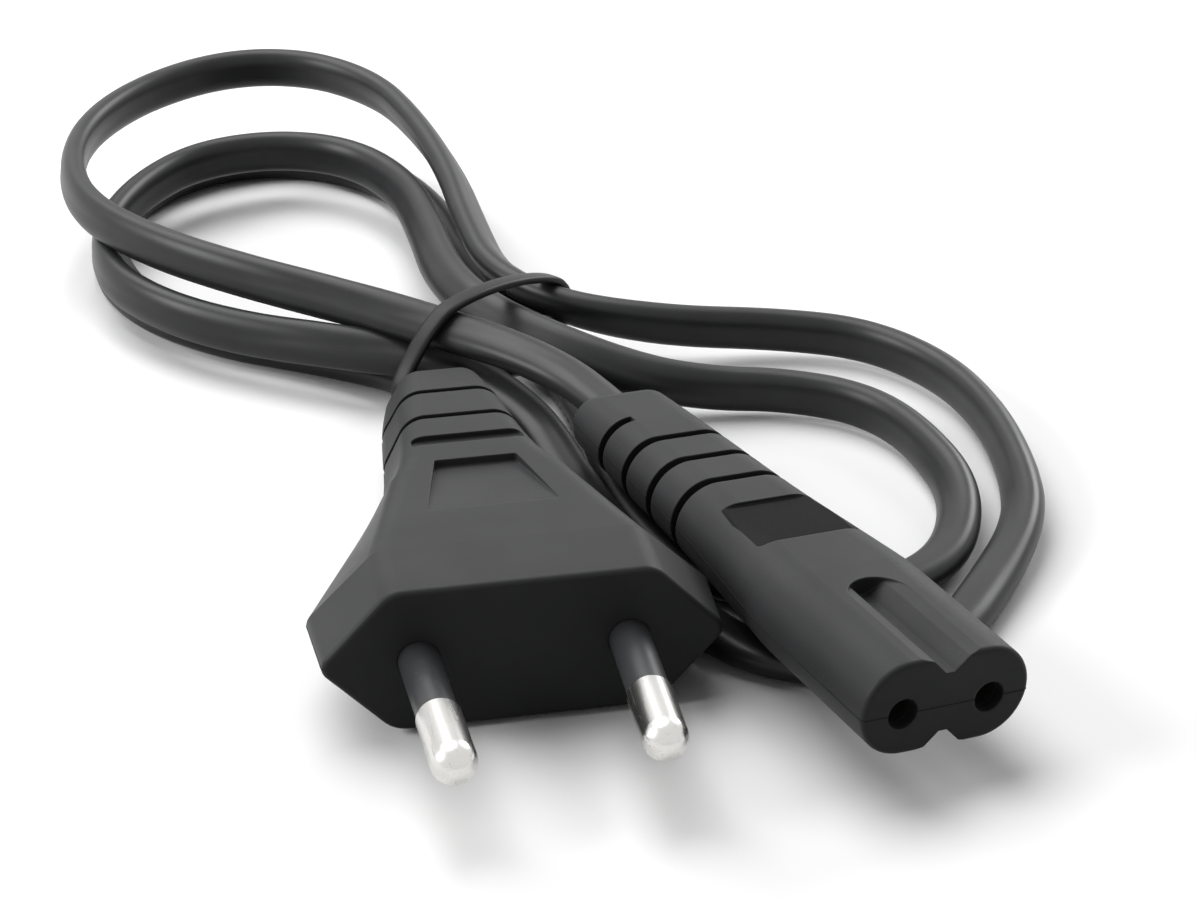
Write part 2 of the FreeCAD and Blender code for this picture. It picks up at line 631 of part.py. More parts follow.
ROUTE = [
    (-1.0, 71.4, 7.7), (-4.7, 77.3, 9.3), (-9.8, 83.3, 10.6), (-16.7, 91.7, 10.6),
    (-24, 102.5, 10.4), (-30, 114, 10.4), (-33.3, 126.5, 10.4), (-31.5, 139, 10.4), (-25.5, 150.5, 10.4),
    (-15.5, 159, 10.4), (-3.5, 162.5, 10.4), (6, 158, 10.4), (10.8, 147, 10.3), (11.2, 135, 9.6),
    (10.4, 122, 8.2), (8.8, 110, 6.4), (8.5, 99.5, 4.6), (12.3, 90, 3.8), (19.5, 82, 3.4),
    (28.5, 77.5, 3.0), (36, 71.5, 2.8), (39, 61, 2.7), (37.8, 50, 2.5), (34, 39.5, 2.2),
    (29.5, 31.5, 1.9), (20.5, 23.5, 1.66), (10.2, 15.95, 1.64), (-0.07, 16.98, 1.64), (-7.0, 24.6, 1.64),
    (-7.5, 38, 1.64), (-6.6, 50, 1.64), (-5.6, 60.5, 1.8), (-4.4, 69.5, 3.4), (-6.6, 77.3, 5.9),
    (-12.6, 83.8, 7.6), (-18.8, 89.5, 6.9), (-25.5, 98, 6.3), (-31.3, 107, 6.2), (-34, 118, 6.2),
    (-31, 129.5, 6.2), (-23.5, 139, 6.2), (-14, 145.3, 6.2), (-3.6, 144.3, 6.2), (3.6, 137, 6.2),
    (5.8, 125, 6.0), (4.0, 113, 5.9), (1.7, 101, 5.9), (1.8, 90, 6.0), (4.4, 80, 5.8),
    (9.4, 72.5, 4.2), (15, 68.8, 3.0), (22, 65.3, 2.7), (27.6, 59, 2.6), (28.9, 50.5, 2.5),
    (26.8, 38, 2.0), (18.2, 27.9, 1.66), (6.4, 27.0, 1.64), (-2.6, 34.7, 1.64), (-3.0, 47, 1.64),
    (-0.8, 59, 1.64), (2.2, 69.5, 1.64), (3.7, 80, 2.1), (4.3, 91, 2.75), (4.7, 103, 2.2),
    (6.6, 115, 1.64), (8.7, 127, 1.64), (7.5, 139, 1.64), (1.5, 148.5, 1.64), (-8.5, 152, 1.64),
    (-19, 148, 1.64), (-27, 138.5, 1.64), (-31, 127.5, 1.64), (-30.5, 116, 1.64), (-25.5, 106, 1.64),
    (-19.2, 98.6, 1.9), (-14.4, 91.3, 2.45), (-12.2, 84.8, 3.3),
]
exit_run = size["cord_exit_run"]
cord_points = [CONNECTOR_POSE.multVec(Vector(0, size["con_length"] + run, exit_z)) for run in (0.0, exit_run)]
cord_points += [from_nose(*point) for point in ROUTE]
cord_points += [PLUG_POSE.multVec(Vector(0, size["plug_len"] + run, 0)) for run in (exit_run, 0.0)]
cord_shape, cord_wire, cord_radii, cord_ratio = tube(cord_points, size["cord_d"] / 2.0)
cord = solid_object("cord", cord_shape)
print("cord length mm", round(cord_wire.Length, 1))
print("cord volume over section times length", round(cord_ratio, 4))
print("cord arc radii mm", [round(r, 1) for r in cord_radii])

# Tie band round the hank; s runs across the hank, h is the height above the floor

TIE_CENTRE = Vector(1.5, 88.2, 0)
TIE_ACROSS = Vector(0.915, 0.403, 0).normalize()
TIE_OUTLINE = [
    (-17.0, 0.9), (4.5, 0.85), (11.6, 1.6), (13.3, 3.9), (11.6, 6.5), (-10.2, 12.8), (-13.8, 12.8), (-17.8, 8.9),
    (-18.4, 5.6),
]
TIE_ROUND = [1.8, 2.0, 1.8, 1.6, 1.8, 2.5, 1.6, 1.6, 2.0]
tie_half = size["tie_w"] / 2.0


def tie_point(s, h):
    p = TIE_CENTRE + TIE_ACROSS * s
    return from_nose(p.x, p.y, h)


tie_normal = TIE_ACROSS.cross(Vector(0, 0, 1))
tie_inner = Part.Wire([e.toShape() for e in rounded([tie_point(*p) for p in TIE_OUTLINE], TIE_ROUND)])
tie_outer = tie_inner.makeOffset2D(size["tie_t"])
tie_solids = []
for outline in (tie_outer, tie_inner):
    face = Part.Face(outline)
    face.translate(tie_normal * -tie_half)
    tie_solids.append(face.extrude(tie_normal * size["tie_w"]))
cord_tie = solid_object("cord_tie", tie_solids[0].cut(tie_solids[1]))
doc.recompute()

# Export

NODES = {
    "connector_body": connector_body, "connector_insert": connector_insert,
    "contact_left": contacts[0], "contact_right": contacts[1],
    "connector_core_left": con_cores[0], "connector_core_right": con_cores[1],
    "connector_strand_left": con_strands[0], "connector_strand_right": con_strands[1],
    "plug_body": plug_body, "plug_bridge": plug_bridge,
    "plug_pin_left": plug_pins[0], "plug_pin_right": plug_pins[1],
    "pin_sleeve_left": sleeves[0], "pin_sleeve_right": sleeves[1],
    "plug_core_left": plug_cores[0], "plug_core_right": plug_cores[1],
    "plug_strand_left": plug_strands[0], "plug_strand_right": plug_strands[1],
    "cord": cord, "cord_tie": cord_tie,
}
for item in doc.Objects:
    if "Invalid" in item.State or "Error" in item.State:
        raise RuntimeError("bad state: " + item.Name + " " + item.getStatusString())
os.makedirs("parts", exist_ok=True)
for name, item in NODES.items():
    shape = item.Shape
    if shape.isNull() or not shape.isValid() or len(shape.Solids) != 1:
        raise RuntimeError("bad shape: %s, solids %d" % (name, len(shape.Solids)))
    shape.exportStep("parts/%s.step" % name)
    box = shape.BoundBox
    print(name, "volume", round(shape.Volume, 1), "box", [round(v, 2) for v in (
        box.XMin, box.XMax, box.YMin, box.YMax, box.ZMin, box.ZMax)])
bare_from = size["sleeve_len"]
bare_to = size["pin_len"] - size["pin_r"]
for side, sign in SIDES:
    here = PLUG_POSE * Placement(Vector(sign * size["pin_pitch"] / 2.0, 0, 0), Rotation(Vector(0, 0, 1), -sign * slant))
    middle = here.multVec(Vector(0, -(bare_from + bare_to) / 2.0, 0))
    print("pin", side, middle, here.Rotation.multVec(Vector(0, -1, 0)), "length", bare_to - bare_from)
    mouth = CONNECTOR_POSE.multVec(Vector(sign * half_pitch, entry_end / 2.0, hole_z))
    print("entry", side, mouth)
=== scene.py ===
# %% [markdown]
# Mains lead: a flat two-pin plug, a small figure-eight connector and the flat two-core cord between
# them, folded into a hank of loops and held in the middle by a narrow tie. The rigid pieces come ready
# made, at their real size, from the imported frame. This lesson adds what the frame leaves plain: the
# flat cord, the tight tie, the moulding seams, and a finish for every piece.

# %% Tools and frame
import json
import math

import bmesh
import bpy
import numpy as np
from mathutils import Matrix, Vector
from mathutils.bvhtree import BVHTree


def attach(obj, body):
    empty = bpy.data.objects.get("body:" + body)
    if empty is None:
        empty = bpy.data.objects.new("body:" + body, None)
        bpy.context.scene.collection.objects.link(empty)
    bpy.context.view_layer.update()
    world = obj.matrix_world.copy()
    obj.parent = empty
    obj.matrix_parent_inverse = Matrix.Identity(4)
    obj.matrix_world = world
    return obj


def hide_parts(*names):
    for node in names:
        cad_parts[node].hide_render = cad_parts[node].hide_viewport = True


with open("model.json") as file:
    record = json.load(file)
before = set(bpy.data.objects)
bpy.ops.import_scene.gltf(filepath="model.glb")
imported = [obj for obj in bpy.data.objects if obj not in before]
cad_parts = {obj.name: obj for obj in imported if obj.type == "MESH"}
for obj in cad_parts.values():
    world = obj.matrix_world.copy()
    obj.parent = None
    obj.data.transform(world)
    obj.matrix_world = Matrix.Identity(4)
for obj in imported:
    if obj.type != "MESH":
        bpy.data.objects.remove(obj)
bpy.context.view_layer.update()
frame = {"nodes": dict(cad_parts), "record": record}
nodes = frame["nodes"]
scene = bpy.context.scene
MM = 0.001
print("nodes in the frame:", len(nodes))

# %% [markdown]
# Places are easiest to measure from something real. Here that is the connector's nose, the floor and
# the connector's own middle line, in millimetres. One helper turns such a place into the frame's
# metres, so every number below can be held against a ruler.

# %% Places from the nose and the floor
NOSE_Y, FLOOR_Z = -30.65, -8.1


def row(x, y, height):
    """Frame position, in metres, of a point given in millimetres from the nose and the floor."""
    return Vector((x, y + NOSE_Y, height + FLOOR_Z)) * MM


print("the nose is at", [round(v, 4) for v in row(0, 0, -FLOOR_Z)])

# %% [markdown]
# The camera looks down on the lead at 28 degrees from the front left, through a long lens, so that
# lines along the connector stay almost parallel. Its direction was worked out from the outlines of the
# plug, the pins and the connector. Building its matrix from three axes keeps the small roll exact.

# %% Camera
CAMERA_AZIMUTH, CAMERA_ELEVATION, CAMERA_ROLL = -26.6, 28.0, 0.3
CAMERA_PLACE = (-121.1, -176.7, 145.1)
FOCAL_PIXELS, PHOTO_WIDTH_PIXELS, SENSOR_WIDTH = 3000.0, 1196.0, 36.0
azimuth, elevation, roll = (math.radians(a) for a in (CAMERA_AZIMUTH, CAMERA_ELEVATION, CAMERA_ROLL))
back = Vector((math.sin(azimuth) * math.cos(elevation), -math.cos(azimuth) * math.cos(elevation),
               math.sin(elevation)))
level = Vector((math.cos(azimuth), math.sin(azimuth), 0))
upright = back.cross(level)
right = level * math.cos(roll) - upright * math.sin(roll)
above = back.cross(right)
camera_data = bpy.data.cameras.new("photo_camera")
camera_data.sensor_width = SENSOR_WIDTH
camera_data.lens = FOCAL_PIXELS / PHOTO_WIDTH_PIXELS * camera_data.sensor_width
camera_data.clip_start, camera_data.clip_end = 0.01, 20.0
camera = bpy.data.objects.new("photo_camera", camera_data)
camera.matrix_world = Matrix.Translation(row(*CAMERA_PLACE)) @ Matrix(
    (right, above, back)).transposed().to_4x4()
scene.collection.objects.link(camera)
scene.camera = camera
scene.view_settings.view_transform = "Standard"
scene.view_settings.look = "None"
print("lens in mm:", round(camera_data.lens, 1))

# %% [markdown]
# The cord starts in the connector's tail and ends in the plug's tail, and both pieces lie a little
# askew. Their poses are repeated here so that the cord leaves each of them dead straight.

# %% Poses of the connector and the plug
CONNECTOR_LENGTH, CONNECTOR_ROLL, TAIL_DROP = 61.3, 5.2, 0.9
PLUG_LENGTH, PLUG_YAW, PLUG_PITCH = 51.6, -15.7, -2.5
PLUG_PLACE = (-27.4, 24.8, 7.28)
connector_pose = (Matrix.Translation(row(0, 0, -FLOOR_Z))
                  @ Matrix.Rotation(math.radians(CONNECTOR_ROLL), 4, "Y"))
plug_pose = (Matrix.Translation(row(*PLUG_PLACE)) @ Matrix.Rotation(math.radians(PLUG_YAW), 4, "Z")
             @ Matrix.Rotation(math.radians(PLUG_PITCH), 4, "X"))


def connector_point(x, y, z):
    """Frame position of a point in the connector's own millimetres."""
    return connector_pose @ (Vector((x, y, z)) * MM)


def plug_point(x, y, z):
    """Frame position of a point in the plug's own millimetres."""
    return plug_pose @ (Vector((x, y, z)) * MM)


cord_exit = connector_point(0, CONNECTOR_LENGTH, -TAIL_DROP)
print("the cord leaves the connector at", [round(v, 4) for v in cord_exit])

# %% [markdown]
# The cord's route is a list of points given along the real loops: three loops to the rear
# left, two to the right, and the flat strands that run under both mouldings. The fourth number is how
# far the flat section has rolled about the cord there, in degrees. A flat cord bends only about its
# thin side, so in each loop it rolls up on its edge, and it lies flat again on the straight runs. By
# the plug it has made one and a half turns, and a half turn more or less looks the same.

# %% Route of the cord
EXIT_RUN, PLUG_END_TURN = 4.0, -540.0
ROUTE = [
    (-1, 71.4, 7.5, -5), (-3.8, 77.3, 8.1, -15), (-7.2, 82.6, 8.4, -25), (-14.5, 91.3, 9.5, -50),
    (-24, 102.5, 10.6, -72), (-30, 114, 10.6, -78), (-33.3, 126.5, 10.5, -80), (-31.5, 139, 10.4, -82),
    (-25.5, 150.5, 10.4, -85), (-15.5, 159, 10.4, -90), (-3.5, 162.5, 10.4, -90), (6, 158, 10.4, -88),
    (10.8, 147, 10.3, -80), (10.8, 135, 9.8, -68), (9.4, 122, 8.7, -55), (6.4, 110, 7.5, -45),
    (4.2, 99, 6.4, -45), (7.4, 89, 5.6, -60), (16.5, 82, 4.4, -85), (28.5, 77.5, 3.3, -90),
    (36, 71.5, 3, -90), (39, 61, 3, -90), (37.8, 50, 2.8, -95), (34, 39.5, 2.5, -115),
    (29.5, 31.5, 2.2, -145), (20.5, 23.5, 1.8, -175), (10.2, 15.95, 1.7, -180),
    (-0.07, 16.98, 1.7, -180), (-7, 24.6, 1.7, -180), (-7.5, 38, 1.7, -180), (-6.6, 50, 1.7, -180),
    (-5.6, 60.5, 1.9, -180), (-4.4, 69.5, 3.0, -180), (-5.4, 77.3, 3.9, -182), (-8.2, 83.8, 4.7, -190),
    (-17.6, 89.0, 6.4, -232), (-25.5, 98, 5.8, -255), (-31.3, 107, 5.9, -262), (-34, 118, 5.9, -265),
    (-31, 129.5, 6.0, -267), (-23.5, 139, 6.2, -270), (-14, 145.3, 6.2, -270), (-3.6, 144.3, 6.2, -272),
    (3.4, 137, 6.3, -280), (4.8, 125, 6.4, -295), (2.0, 113, 6.7, -308), (-1.2, 101, 6.6, -318),
    (-1.6, 90, 6.8, -320), (2.2, 80, 6.2, -315), (8.6, 72.5, 4.3, -298), (15, 68.8, 3.1, -275),
    (22, 65.3, 2.9, -270), (27.6, 59, 2.9, -270), (28.9, 50.5, 2.9, -275), (26.8, 38, 2.4, -310),
    (18.2, 27.9, 1.8, -350), (6.4, 27, 1.7, -360), (-2.6, 34.7, 1.7, -360), (-3, 47, 1.7, -360),
    (-0.8, 59, 1.7, -360), (2.2, 69.5, 1.7, -362), (3.7, 80, 2.3, -378), (4.3, 91, 3.0, -392),
    (4.7, 103, 2.4, -392), (6.6, 115, 2.05, -385), (8.7, 127, 2.2, -400), (7.5, 139, 2.5, -430),
    (1.5, 148.5, 2.5, -450), (-8.5, 152, 2.5, -450), (-19, 148, 2.5, -450), (-27, 138.5, 2.3, -470),
    (-31, 127.5, 2.1, -495), (-30.5, 116, 2.05, -495), (-25.5, 106, 2.05, -495),
    (-19.0, 98.6, 2.2, -500), (-12.6, 90.6, 1.9, -530), (-11.2, 84.4, 2.6, -540),
]
control = [cord_exit, connector_point(0, CONNECTOR_LENGTH + EXIT_RUN, -TAIL_DROP)]
control += [row(x, y, height) for x, y, height, turn in ROUTE]
control += [plug_point(0, PLUG_LENGTH + EXIT_RUN, 0), plug_point(0, PLUG_LENGTH, 0)]
turns = [CONNECTOR_ROLL] * 2 + [turn for x, y, height, turn in ROUTE] + [PLUG_END_TURN] * 2
turns = [math.radians(turn) for turn in turns]
print("route points:", len(control))

# %% [markdown]
# A NURBS curve of order 3 passes smoothly beside its points, as a springy cord does, while straight
# segments with rounded corners would look like bent wire. Its end points are reached exactly once
# use_endpoint_u is on, and that is set only after the points are in. Blender turns the curve into a
# line of vertices, and that line is then divided again into even steps.

# %% Smooth line of the cord
curve = bpy.data.curves.new("cord_line", "CURVE")
curve.dimensions = "3D"
spline = curve.splines.new("NURBS")
spline.points.add(len(control) - 1)
for point, place in zip(spline.points, control):
    point.co = (*place, 1.0)
spline.order_u = 3
spline.use_endpoint_u = True
spline.resolution_u = 12
line_object = bpy.data.objects.new("cord_line", curve)
scene.collection.objects.link(line_object)
line = np.array([v.co for v in bpy.data.meshes.new_from_object(line_object).vertices], float)
bpy.data.objects.remove(line_object)
print("points on the smooth line:", len(line))

# %% Even steps along the cord
RING_STEP = 0.7 * MM


def lengths_along(points):
    """Distance from the start to each point of a line."""
    return np.concatenate([[0.0], np.cumsum(np.linalg.norm(np.diff(points, axis=0), axis=1))])


def resample(points, step):
    """Evenly spaced points on a line, with their distances from its start."""
    s = lengths_along(points)
    even = np.linspace(0, s[-1], int(s[-1] / step) + 1)
    return np.stack([np.interp(even, s, points[:, k]) for k in range(3)], axis=1), even


path, along = resample(line, RING_STEP)
print("cord length in m:", round(float(along[-1]), 4))

# %% [markdown]
# The roll of the section is known at the route's points only. It is carried to every place on the line
# by finding where the line passes each point, then averaged over about fifteen millimetres, because a
# cord can't twist suddenly.

# %% Roll of the section along the line
TWIST_SPREAD, SEARCH_AHEAD = 21, 70


def turn_along(points, s, places, values):
    """Roll of the section at each point of the line."""
    knots, start = [], 0
    for place in places:
        window = points[start:start + SEARCH_AHEAD]
        start += int(np.argmin(np.linalg.norm(window - np.array(place), axis=1)))
        knots.append(s[start])
    rough = np.interp(s, knots, values)
    kernel = np.hanning(TWIST_SPREAD)
    padded = np.pad(rough, TWIST_SPREAD // 2, mode="edge")
    return np.convolve(padded, kernel / kernel.sum(), mode="valid")


path_turn = turn_along(path, along, control, turns)
print("turns made by the section:", round(float(path_turn[-1] - path_turn[0]) / (2 * math.pi), 2))

# %% [markdown]
# The real section is 4.8 by 3 mm with round sides and a shallow valley on each broad face, where the
# two cores lie side by side. A superellipse gives the round sides, and a narrow bell curve presses the
# valley in. A round bevel on the curve would be quicker, but it would lose the flat look.

# %% Section of the cord
CORD_WIDTH, CORD_THICK, VALLEY_HALF = 4.8 * MM, 3.0 * MM, 0.6 * MM
SIDE_POWER, VALLEY_SHARE, SECTION_POINTS = 2.4, 0.035, 32


def cord_section(count):
    """Closed outline of the flat cord across its run."""
    outline = []
    for i in range(count):
        a = 2 * math.pi * i / count
        c, s = math.cos(a), math.sin(a)
        reach = (abs(c / (CORD_WIDTH / 2)) ** SIDE_POWER + abs(s / (CORD_THICK / 2)) ** SIDE_POWER)
        u, v = c * reach ** (-1 / SIDE_POWER), s * reach ** (-1 / SIDE_POWER)
        outline.append((u, v * (1 - VALLEY_SHARE * math.exp(-((u / VALLEY_HALF) ** 2)))))
    return np.array(outline)


section = cord_section(SECTION_POINTS)
print("section in mm:", [round(float(v) / MM, 2) for v in np.ptp(section, axis=0)])

# %% [markdown]
# A lying cord touches the floor and never sinks into it. How low the section reaches depends on its
# roll, so the line is lifted wherever the rolled section would pass the floor.

# %% Resting on the floor
FLOOR_GAP = 0.02 * MM
wide_part = np.outer(np.sin(path_turn), section[:, 0])
thick_part = np.outer(np.cos(path_turn), section[:, 1])
half_height = (wide_part + thick_part).max(axis=1)
path[:, 2] = np.maximum(path[:, 2], FLOOR_Z * MM + FLOOR_GAP + half_height)
print("lowest point of the cord over the floor in mm:",
      round(float((path[:, 2] - half_height).min()) / MM - FLOOR_Z, 3))

# %% [markdown]
# Now the section is carried along the line. At each point one axis lies level and square to the line,
# the other stands up from it, and both are rolled by the angle from above. The rings are joined with
# quads. A bevelled curve would be shorter to write, but Blender's own rule for the twist of a section
# would be added to the roll.

# %% Meshes from rings
def mesh_object(name, corners, faces, smooth=True):
    """New object from corners and faces."""
    mesh = bpy.data.meshes.new(name)
    mesh.from_pydata([tuple(v) for v in corners], [], faces)
    mesh.update()
    mesh.polygons.foreach_set("use_smooth", [smooth] * len(mesh.polygons))
    made = bpy.data.objects.new(name, mesh)
    scene.collection.objects.link(made)
    return made


def sweep_rings(points, angles, outline):
    """Rings of the outline along an open line."""
    tangent = np.gradient(points, axis=0)
    tangent /= np.linalg.norm(tangent, axis=1)[:, None]
    side = np.cross((0, 0, 1), tangent)
    side /= np.linalg.norm(side, axis=1)[:, None]
    up = np.cross(tangent, side)
    cos, sin = np.cos(angles)[:, None], np.sin(angles)[:, None]
    wide, thick = side * cos + up * sin, up * cos - side * sin
    return points[:, None] + wide[:, None] * outline[None, :, :1] + thick[:, None] * outline[None, :, 1:]


def skin_rings(rings, closed):
    """Quads between neighbouring rings, with flat ends on an open row of rings."""
    n, m = rings.shape[:2]
    last = n if closed else n - 1
    faces = [(i * m + j, i * m + (j + 1) % m, (i + 1) % n * m + (j + 1) % m, (i + 1) % n * m + j)
             for i in range(last) for j in range(m)]
    if not closed:
        faces += [tuple(reversed(range(m))), tuple((n - 1) * m + j for j in range(m))]
    return faces


rings = sweep_rings(path, path_turn, section)
cord = mesh_object("cord_jacket", rings.reshape(-1, 3), skin_rings(rings, closed=False))
print("cord faces:", len(cord.data.polygons))

# %% [markdown]
# The finish has to run fine lines lengthwise, whichever way the cord turns. So a second, flat set of
# coordinates, a UV map, records how far round and how far along each corner lies, in metres. The
# distance round the section is measured both ways from one side, so that it has no jump.

# %% Lengthwise coordinates of the cord
def map_lengthwise(made, s, around):
    """UV map with the distance round the section and along the cord, in metres."""
    layer = made.data.uv_layers.new(name="lengthwise")
    m = len(around)
    for spot, corner in zip(layer.data, made.data.loops):
        spot.uv = (around[corner.vertex_index % m], s[corner.vertex_index // m])


girth = lengths_along(np.c_[section, np.zeros(SECTION_POINTS)])
map_lengthwise(cord, along, np.minimum(girth, girth[-1] - girth))
print("half way round the section in mm:", round(float(girth[-1]) / 2 / MM, 1))

# %% [markdown]
# The tie is a narrow strap pulled tight round the pinched middle of the hank. A tight strap takes the
# shortest way round what it holds, so its inner line is worked out from the cord itself. First the
# points of the cord near the tie's plane are gathered.

# %% Points of the hank at the tie
TIE_WIDTH, TIE_THICK, TIE_SLACK = 2.0 * MM, 0.85 * MM, 0.08 * MM
TIE_PLACE, TIE_DIRECTION, HANK_REACH = (1.5, 88.2), (0.915, 0.403), 25 * MM
tie_middle = row(*TIE_PLACE, 0)
tie_across = Vector((*TIE_DIRECTION, 0)).normalized()
tie_along = Vector((0, 0, 1)).cross(tie_across)
corners = rings.reshape(-1, 3) - np.array(tie_middle)
near = np.abs(corners @ np.array(tie_along)) < TIE_WIDTH / 2 + TIE_SLACK
held = np.stack([corners[near] @ np.array(tie_across), corners[near][:, 2]], axis=1)
held = held[np.abs(held[:, 0]) < HANK_REACH]
print("hank at the tie, mm wide and high:", [round(float(v) / MM, 1) for v in np.ptp(held, axis=0)])

# %% [markdown]
# In each direction from the middle, the furthest of those points sets how far the strap stands out.
# Averaging over neighbouring directions rounds the corners, as a stiff strap does. Hand-placed points
# would be quicker, but they would cut into the cord as soon as its route changed.

# %% Line of the tight strap
TIE_STEPS, TIE_STIFFNESS = 180, 12


def tight_line(points, slack, count, spread):
    """Closed outline of a strap pulled round the points."""
    centre = (points.max(axis=0) + points.min(axis=0)) / 2
    a = np.linspace(0, 2 * math.pi, count, endpoint=False)
    out = np.stack([np.cos(a), np.sin(a)], axis=1)
    reach = (out @ (points - centre).T).max(axis=1) + slack
    kernel = np.hanning(2 * spread + 1)
    kernel /= kernel.sum()
    reach = sum(w * np.roll(reach, k - spread) for k, w in enumerate(kernel))
    step = 2 * math.pi / count
    slope = (np.roll(reach, -1) - np.roll(reach, 1)) / (2 * step)
    sideways = np.stack([-np.sin(a), np.cos(a)], axis=1)
    return centre + reach[:, None] * out + slope[:, None] * sideways, out


inner_line, outward = tight_line(held, TIE_SLACK, TIE_STEPS, TIE_STIFFNESS)
inner_line[:, 1] = np.maximum(inner_line[:, 1], TIE_THICK + FLOOR_GAP)
strap_length = lengths_along(np.c_[inner_line, np.zeros(TIE_STEPS)])[-1]
print("strap round the hank in mm:", round(float(strap_length) / MM))

# %% Strap swept round the hank
STRAP_POINTS, STRAP_POWER = 20, 5.0


def strap_section(count):
    """Flat section with soft corners: across the strap's width, and out from the hank."""
    outline = []
    for i in range(count):
        a = 2 * math.pi * i / count
        c, s = math.cos(a), math.sin(a)
        reach = (abs(c) ** STRAP_POWER + abs(s) ** STRAP_POWER) ** (-1 / STRAP_POWER)
        outline.append((c * reach * TIE_WIDTH / 2, s * reach * TIE_THICK / 2))
    return outline


strap_rings = []
for (s, h), (out_s, out_h) in zip(inner_line, outward):
    foot = tie_middle + tie_across * float(s) + Vector((0, 0, float(h)))
    out = tie_across * float(out_s) + Vector((0, 0, float(out_h)))
    strap_rings.append([foot + tie_along * u + out * (v + TIE_THICK / 2)
                        for u, v in strap_section(STRAP_POINTS)])
strap_rings = np.array(strap_rings, float)
tie = mesh_object("tie_strap", strap_rings.reshape(-1, 3), skin_rings(strap_rings, closed=True))
print("strap faces:", len(tie.data.polygons))

# %% [markdown]
# Each moulding is made in a two-part tool, and where the halves of the tool meet, a fine line of
# plastic is left all round. It is too fine to model by hand, but it lies exactly in one plane: a copy
# of the piece is cut by that plane, and the cut edges that see open space become a hair-thin bead. A
# ray sent out from each edge drops the ones inside a hole, a groove or the hollow of the piece.

# %% Cut edges that lie open
CUT_MARGIN, LEAST_NORMAL, RAY_START = 1e-8, 0.1, 0.02 * MM


def open_cut_edges(piece, origin, across):
    """Ends of the edges where a plane meets the outside of a piece, each with the way it faces."""
    work = bmesh.new()
    work.from_mesh(piece.data)
    skin = BVHTree.FromBMesh(work)
    parts = work.verts[:] + work.edges[:] + work.faces[:]
    cut = bmesh.ops.bisect_plane(work, geom=parts, plane_co=origin, plane_no=across, dist=CUT_MARGIN)
    found = []
    for edge in (e for e in cut["geom_cut"] if isinstance(e, bmesh.types.BMEdge)):
        facing = sum((face.normal for face in edge.link_faces), Vector())
        if facing.length < LEAST_NORMAL:
            continue
        facing.normalize()
        middle = (edge.verts[0].co + edge.verts[1].co) / 2
        if skin.ray_cast(middle + facing * RAY_START, facing)[0] is None:
            found.append((edge.verts[0].co.copy(), edge.verts[1].co.copy(), facing))
    work.free()
    return found


# %% Chains of edges
SAME_PLACE = 0.001 * MM


def chains(edges):
    """Edges joined end to end into lines of points."""
    def key(v):
        return tuple(round(c / SAME_PLACE) for c in v)

    places, links = {}, {}
    for a, b, facing in edges:
        for v in (a, b):
            places[key(v)] = v
        links.setdefault(key(a), []).append(key(b))
        links.setdefault(key(b), []).append(key(a))
    lines, used = [], set()
    for start in sorted(links, key=lambda k: (len(links[k]) != 1, k)):
        for first in links[start]:
            if frozenset((start, first)) in used:
                continue
            run, here, ahead = [start], start, first
            while ahead is not None:
                used.add(frozenset((here, ahead)))
                run.append(ahead)
                onward = [n for n in links[ahead] if frozenset((ahead, n)) not in used]
                here, ahead = ahead, (onward[0] if onward else None)
            lines.append([places[k] for k in run])
    return lines


# %% Seam bead
SEAM_RADIUS, SEAM_SHORTEST = 0.055 * MM, 0.6 * MM


def seam(name, piece, origin, across, keep):
    """Fine bead along the tool's parting plane, where the direction it faces is one to keep."""
    edges = [e for e in open_cut_edges(piece, origin, across) if keep(e[2])]
    lines = [run for run in chains(edges)
             if sum((b - a).length for a, b in zip(run, run[1:])) > SEAM_SHORTEST]
    bead = bpy.data.curves.new(name, "CURVE")
    bead.dimensions = "3D"
    bead.bevel_depth = SEAM_RADIUS
    bead.bevel_resolution = 1
    bead.use_fill_caps = True
    for run in lines:
        strand = bead.splines.new("POLY")
        strand.points.add(len(run) - 1)
        for point, place in zip(strand.points, run):
            point.co = (*place, 1.0)
    made = bpy.data.objects.new(name, bead)
    scene.collection.objects.link(made)
    print(name, "lines:", len(lines), "points:", sum(len(run) for run in lines))
    return made


# %% [markdown]
# The connector's tool parts through the middle of its two holes, which lie a little below its axis.
# The plug's tool parts just over its axis, clear of the edges that lie in its middle plane. Its bead
# is left off the flat face that carries the pins.

# %% Seams of both mouldings
HOLE_DROP, PLUG_PARTING_RISE, FACE_LIKENESS = 0.4, 0.01, 0.7
connector_up = connector_pose.to_3x3() @ Vector((0, 0, 1))
plug_up = plug_pose.to_3x3() @ Vector((0, 0, 1))
plug_forward = plug_pose.to_3x3() @ Vector((0, -1, 0))
connector_seam = seam("connector_seam", nodes["connector_body"], connector_point(0, 0, -HOLE_DROP),
                      connector_up, keep=lambda facing: True)
plug_seam = seam("plug_seam", nodes["plug_body"], plug_point(0, 0, PLUG_PARTING_RISE), plug_up,
                 keep=lambda facing: facing.dot(plug_forward) < FACE_LIKENESS)

# %% [markdown]
# Finishes are made of small shared effects. Each effect is a shader node group with named inputs, so
# the same grain can be coarse on a moulding and fine on a strap. Four helpers keep this short: one
# makes an empty group with its sockets, one places a node and links or sets its inputs, one does a
# sum, and one carries a value from one range to another.

